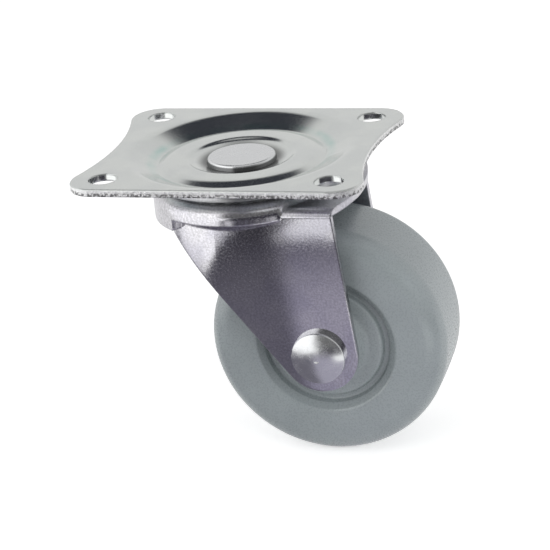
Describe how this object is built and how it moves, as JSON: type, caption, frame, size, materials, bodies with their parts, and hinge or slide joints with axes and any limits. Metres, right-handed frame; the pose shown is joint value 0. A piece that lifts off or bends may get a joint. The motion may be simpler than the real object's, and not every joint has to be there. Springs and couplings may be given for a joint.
{
  "type": "swivel castor",
  "caption": "Plate-mounted swivel castor: pressed fork on a ball race under a dished four-hole top plate, with a one-piece rubber wheel on a riveted axle.",
  "frame": {"origin": "centre of the four bolt holes on the top plate's mounting face, on the swivel axis", "axes": "+Z out of the mounting face along the swivel axis, +X along the plate's long side towards the trailing side where the wheel hangs at rest, +Y along the wheel's axle"},
  "size_m": [0.0723, 0.0502, 0.0645],
  "materials": {
    "zinc_plate": "bright zinc-plated pressed steel, satin",
    "zinc_fork": "bright zinc-plated pressed steel with a faint violet passivate",
    "zinc_cup": "zinc-plated pressed steel, satin",
    "rivet_steel": "zinc-plated steel, smooth",
    "sleeve_steel": "turned steel tube, zinc-plated",
    "bearing_steel": "ground and polished, lightly greased",
    "grey_rubber": "non-marking grey rubber, smooth moulded satin"
  },
  "bodies": {
    "plate": {"top_plate": "zinc_plate", "kingpin_rivet": "rivet_steel", "lower_race_cup": "zinc_cup"},
    "swivel_fork": {"fork": "zinc_fork", "axle_rivet": "rivet_steel", "axle_sleeve": "sleeve_steel"},
    "rolling_wheel": {"wheel": "grey_rubber"},
    "upper_race_balls": {"upper_ball_01": "bearing_steel", "upper_ball_02": "bearing_steel", "upper_ball_03": "bearing_steel", "upper_ball_04": "bearing_steel", "upper_ball_05": "bearing_steel", "upper_ball_06": "bearing_steel", "upper_ball_07": "bearing_steel", "upper_ball_08": "bearing_steel", "upper_ball_09": "bearing_steel", "upper_ball_10": "bearing_steel", "upper_ball_11": "bearing_steel", "upper_ball_12": "bearing_steel", "upper_ball_13": "bearing_steel", "upper_ball_14": "bearing_steel", "upper_ball_15": "bearing_steel", "upper_ball_16": "bearing_steel", "upper_ball_17": "bearing_steel", "upper_ball_18": "bearing_steel", "upper_ball_19": "bearing_steel", "upper_ball_20": "bearing_steel", "upper_ball_21": "bearing_steel", "upper_ball_22": "bearing_steel", "upper_ball_23": "bearing_steel", "upper_ball_24": "bearing_steel", "upper_ball_25": "bearing_steel"},
    "lower_race_balls": {"lower_ball_01": "bearing_steel", "lower_ball_02": "bearing_steel", "lower_ball_03": "bearing_steel", "lower_ball_04": "bearing_steel", "lower_ball_05": "bearing_steel", "lower_ball_06": "bearing_steel", "lower_ball_07": "bearing_steel", "lower_ball_08": "bearing_steel", "lower_ball_09": "bearing_steel", "lower_ball_10": "bearing_steel", "lower_ball_11": "bearing_steel", "lower_ball_12": "bearing_steel", "lower_ball_13": "bearing_steel", "lower_ball_14": "bearing_steel", "lower_ball_15": "bearing_steel"}
  },
  "joints": [
    {"name": "swivel", "type": "hinge", "parent": "plate", "child": "swivel_fork", "pos_m": [0, 0, 0], "axis": [0, 0, 1], "continuous": true},
    {"name": "wheel_spin", "type": "hinge", "parent": "swivel_fork", "child": "rolling_wheel", "pos_m": [0.0172, 0, -0.0395], "axis": [0, 1, 0], "continuous": true},
    {"name": "upper_balls_orbit", "type": "hinge", "parent": "plate", "child": "upper_race_balls", "pos_m": [0, 0, -0.00587], "axis": [0, 0, 1], "continuous": true},
    {"name": "lower_balls_orbit", "type": "hinge", "parent": "plate", "child": "lower_race_balls", "pos_m": [0, 0, -0.00862], "axis": [0, 0, 1], "continuous": true}
  ],
  "couplings": [
    {"joint": "upper_balls_orbit", "follows": "swivel", "ratio": 0.5},
    {"joint": "lower_balls_orbit", "follows": "swivel", "ratio": 0.5}
  ]
}
